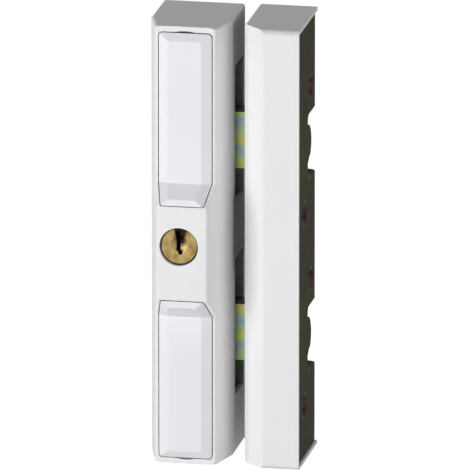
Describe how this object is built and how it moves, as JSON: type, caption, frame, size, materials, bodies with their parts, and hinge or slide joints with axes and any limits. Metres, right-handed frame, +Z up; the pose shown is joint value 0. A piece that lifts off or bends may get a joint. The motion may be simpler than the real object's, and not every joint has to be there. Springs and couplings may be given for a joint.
{
  "type": "window lock",
  "caption": "Surface-mounted window lock: keyed case whose steel bolts swing into a separate strike box.",
  "frame": {"origin": "middle of the lock case's back, on the window's face", "axes": "+Z up along the case, -Y off the window into the room, +X from the case to the strike box"},
  "size_m": [0.063, 0.0478, 0.1822],
  "materials": {
    "case_enamel": "satin powder coat",
    "cap_plastic": "satin moulded",
    "base_steel": "dark passivated zinc",
    "bolt_steel": "yellow chromated zinc, iridescent",
    "pivot_steel": "bright zinc plated",
    "drive_steel": "rolled sheet, zinc plated",
    "cylinder_brass": "turned and faced",
    "pin_brass": "turned",
    "spring_steel": "drawn wire",
    "screw_steel": "bright zinc plated",
    "strike_enamel": "satin powder coat",
    "keeper_steel": "olive chromated zinc"
  },
  "bodies": {
    "root": {"lock_cover": "case_enamel", "cap_upper": "cap_plastic", "cap_lower": "cap_plastic", "base_plate": "base_steel", "base_screws": "screw_steel", "pivot_tube_upper": "pivot_steel", "pivot_tube_lower": "pivot_steel", "pivot_washers": "spring_steel", "cylinder_body": "cylinder_brass", "driver_pins": "pin_brass", "pin_springs": "spring_steel", "chamber_strip": "pin_brass", "cylinder_screws": "screw_steel", "strike_cover": "strike_enamel", "keeper_angle": "keeper_steel", "keeper_side_plate": "keeper_steel"},
    "upper_bolt": {"bolt_upper": "bolt_steel", "crank_pin_upper": "pivot_steel"},
    "lower_bolt": {"bolt_lower": "bolt_steel", "crank_pin_lower": "pivot_steel"},
    "key_plug": {"cylinder_plug": "cylinder_brass", "key_pins": "pin_brass", "plug_clip": "spring_steel", "plug_crank": "drive_steel"},
    "drive": {"drive_plate": "drive_steel"}
  },
  "joints": [
    {"name": "upper_bolt_swing", "type": "hinge", "parent": "root", "child": "upper_bolt", "pos_m": [0.0015, -0.0088, 0.0379], "axis": [0, -1, 0], "range_deg": [0, 90]},
    {"name": "lower_bolt_swing", "type": "hinge", "parent": "root", "child": "lower_bolt", "pos_m": [0.0015, -0.0088, -0.0421], "axis": [0, -1, 0], "range_deg": [0, 90]},
    {"name": "key_turn", "type": "hinge", "parent": "root", "child": "key_plug", "pos_m": [-0.0013, -0.034, 0.0016], "axis": [0, -1, 0], "range_deg": [0, 90]},
    {"name": "drive_plate_swing", "type": "hinge", "parent": "upper_bolt", "child": "drive", "pos_m": [-0.00451, -0.0166, 0.04391], "axis": [0, -1, 0], "range_deg": [-90, 0]}
  ],
  "couplings": [
    {"joint": "lower_bolt_swing", "follows": "upper_bolt_swing", "ratio": 1},
    {"joint": "key_turn", "follows": "upper_bolt_swing", "ratio": 1},
    {"joint": "drive_plate_swing", "follows": "upper_bolt_swing", "ratio": -1}
  ]
}
